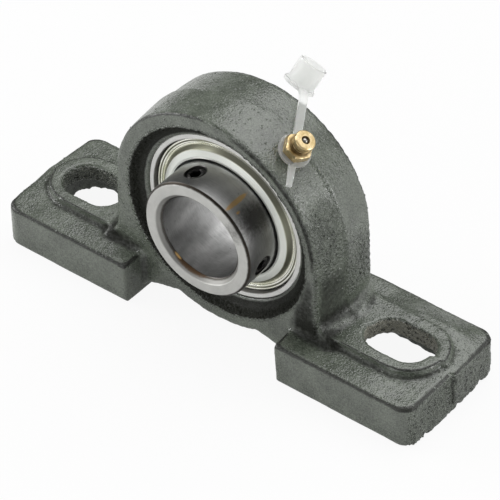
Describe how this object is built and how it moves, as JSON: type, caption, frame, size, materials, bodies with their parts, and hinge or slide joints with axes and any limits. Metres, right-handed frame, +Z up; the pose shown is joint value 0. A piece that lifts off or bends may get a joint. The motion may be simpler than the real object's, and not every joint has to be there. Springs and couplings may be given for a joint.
{
  "type": "pillow block bearing",
  "caption": "Two-bolt cast pillow block holding a self-aligning ball bearing insert with set screws, grease nipple and tethered dust cap.",
  "frame": {"origin": "on the shaft axis at the centre of the ball row and of the spherical seat, above the middle of the base", "axes": "+X along the base from one foot to the other, +Y along the shaft away from the set-screw end, +Z up from the base"},
  "size_m": [0.14, 0.0434, 0.0765],
  "materials": {
    "enamelled_casting": "grey-green enamel over a rough sand casting",
    "ground_steel": "ground bearing steel",
    "ball_steel": "polished bearing steel",
    "cage_steel": "pressed steel sheet",
    "plated_sheet": "pale plated sheet steel",
    "seal_rubber": "black nitrile rubber",
    "black_steel": "blackened steel",
    "nipple_brass": "turned brass",
    "cap_plastic": "milky translucent polyethylene"
  },
  "bodies": {
    "housing": {"housing": "enamelled_casting", "nipple_body": "nipple_brass", "nipple_spring": "black_steel"},
    "insert": {"outer_ring": "ground_steel", "front_shield": "plated_sheet", "rear_shield": "plated_sheet", "front_seal_rubber": "seal_rubber", "rear_seal_rubber": "seal_rubber", "front_seal_backing": "cage_steel", "rear_seal_backing": "cage_steel"},
    "inner_ring": {"inner_ring": "ground_steel"},
    "cage": {"cage_front": "cage_steel", "cage_rear": "cage_steel", "cage_rivets": "cage_steel"},
    "ball_1_body": {"ball_1": "ball_steel"},
    "ball_2_body": {"ball_2": "ball_steel"},
    "ball_3_body": {"ball_3": "ball_steel"},
    "ball_4_body": {"ball_4": "ball_steel"},
    "ball_5_body": {"ball_5": "ball_steel"},
    "ball_6_body": {"ball_6": "ball_steel"},
    "ball_7_body": {"ball_7": "ball_steel"},
    "ball_8_body": {"ball_8": "ball_steel"},
    "ball_9_body": {"ball_9": "ball_steel"},
    "set_screw_1_body": {"set_screw_1": "black_steel"},
    "set_screw_2_body": {"set_screw_2": "black_steel"},
    "check_ball": {"nipple_ball": "ball_steel"},
    "dust_cap": {"nipple_cap": "cap_plastic"}
  },
  "joints": [
    {"name": "insert_tilt", "type": "hinge", "parent": "housing", "child": "insert", "pos_m": [0, 0, 0], "axis": [1, 0, 0], "range_deg": [-2, 2]},
    {"name": "shaft_spin", "type": "hinge", "parent": "insert", "child": "inner_ring", "pos_m": [0, 0, 0], "axis": [0, 1, 0], "continuous": true},
    {"name": "cage_spin", "type": "hinge", "parent": "insert", "child": "cage", "pos_m": [0, 0, 0], "axis": [0, 1, 0], "continuous": true},
    {"name": "ball_1_spin", "type": "hinge", "parent": "cage", "child": "ball_1_body", "pos_m": [0, 0, 0.0195], "axis": [0, 1, 0], "continuous": true},
    {"name": "ball_2_spin", "type": "hinge", "parent": "cage", "child": "ball_2_body", "pos_m": [0.01253, 0, 0.01494], "axis": [0, 1, 0], "continuous": true},
    {"name": "ball_3_spin", "type": "hinge", "parent": "cage", "child": "ball_3_body", "pos_m": [0.0192, 0, 0.00339], "axis": [0, 1, 0], "continuous": true},
    {"name": "ball_4_spin", "type": "hinge", "parent": "cage", "child": "ball_4_body", "pos_m": [0.01689, 0, -0.00975], "axis": [0, 1, 0], "continuous": true},
    {"name": "ball_5_spin", "type": "hinge", "parent": "cage", "child": "ball_5_body", "pos_m": [0.00667, 0, -0.01832], "axis": [0, 1, 0], "continuous": true},
    {"name": "ball_6_spin", "type": "hinge", "parent": "cage", "child": "ball_6_body", "pos_m": [-0.00667, 0, -0.01832], "axis": [0, 1, 0], "continuous": true},
    {"name": "ball_7_spin", "type": "hinge", "parent": "cage", "child": "ball_7_body", "pos_m": [-0.01689, 0, -0.00975], "axis": [0, 1, 0], "continuous": true},
    {"name": "ball_8_spin", "type": "hinge", "parent": "cage", "child": "ball_8_body", "pos_m": [-0.0192, 0, 0.00339], "axis": [0, 1, 0], "continuous": true},
    {"name": "ball_9_spin", "type": "hinge", "parent": "cage", "child": "ball_9_body", "pos_m": [-0.01253, 0, 0.01494], "axis": [0, 1, 0], "continuous": true},
    {"name": "set_screw_1_travel", "type": "slide", "parent": "inner_ring", "child": "set_screw_1_body", "axis": [-0.2756, 0, 0.9613], "range_m": [-0.0004, 0.003]},
    {"name": "set_screw_2_travel", "type": "slide", "parent": "inner_ring", "child": "set_screw_2_body", "axis": [0.9703, 0, -0.2419], "range_m": [-0.0004, 0.003]},
    {"name": "check_ball_lift", "type": "slide", "parent": "housing", "child": "check_ball", "axis": [-0.5592, 0, -0.829], "range_m": [0, 0.0008], "stiffness_N_per_m": 200, "springref_m": -0.002, "deforming": ["nipple_spring"]},
    {"name": "dust_cap_swivel", "type": "hinge", "parent": "housing", "child": "dust_cap", "pos_m": [0.01918, -0.0026, 0.02844], "axis": [0.5592, 0, 0.829], "continuous": true}
  ],
  "couplings": [
    {"joint": "cage_spin", "follows": "shaft_spin", "ratio": 0.39823},
    {"joint": "ball_1_spin", "follows": "shaft_spin", "ratio": -2.3548},
    {"joint": "ball_2_spin", "follows": "shaft_spin", "ratio": -2.3548},
    {"joint": "ball_3_spin", "follows": "shaft_spin", "ratio": -2.3548},
    {"joint": "ball_4_spin", "follows": "shaft_spin", "ratio": -2.3548},
    {"joint": "ball_5_spin", "follows": "shaft_spin", "ratio": -2.3548},
    {"joint": "ball_6_spin", "follows": "shaft_spin", "ratio": -2.3548},
    {"joint": "ball_7_spin", "follows": "shaft_spin", "ratio": -2.3548},
    {"joint": "ball_8_spin", "follows": "shaft_spin", "ratio": -2.3548},
    {"joint": "ball_9_spin", "follows": "shaft_spin", "ratio": -2.3548}
  ]
}
